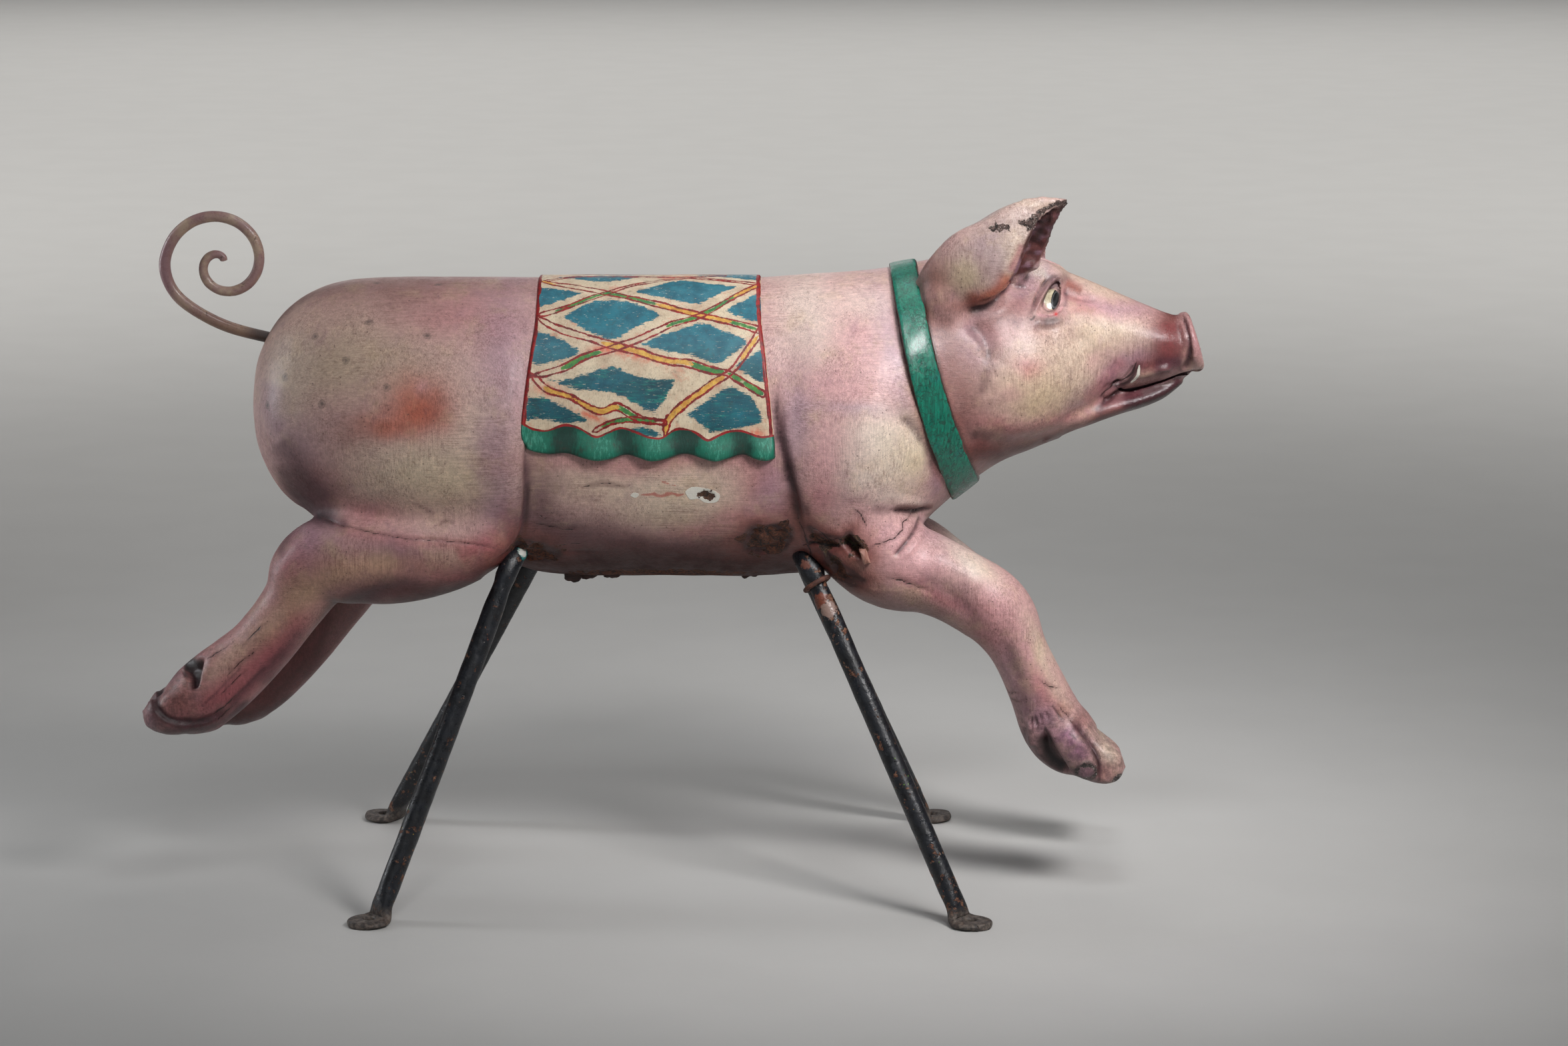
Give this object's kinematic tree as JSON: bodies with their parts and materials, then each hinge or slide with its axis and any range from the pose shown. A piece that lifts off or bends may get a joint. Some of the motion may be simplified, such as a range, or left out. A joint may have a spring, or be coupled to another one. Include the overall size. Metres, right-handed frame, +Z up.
{
  "type": "carousel pig",
  "caption": "Carved wooden carousel pig in full leap with relief saddle cloth, collar and iron spiral tail, held up by bent pipe stands with bolt-down feet.",
  "frame": {"origin": "on the floor under the middle of the whole object", "axes": "+X the way the pig runs, +Y its left side, +Z up"},
  "size_m": [1.3029, 0.5548, 0.8624],
  "materials": {
    "painted_wood": "old oil paint, airbrushed pink, mauve and cream, worn satin",
    "painted_tail": "forged rod painted cream and mauve, worn",
    "black_pipe": "black enamel, worn, with rust",
    "rusty_iron": "rusted"
  },
  "bodies": {
    "root": {"pig": "painted_wood", "tail": "painted_tail", "rear_stand": "black_pipe", "front_stand": "black_pipe", "iron_ring": "rusty_iron"}
  },
  "joints": []
}
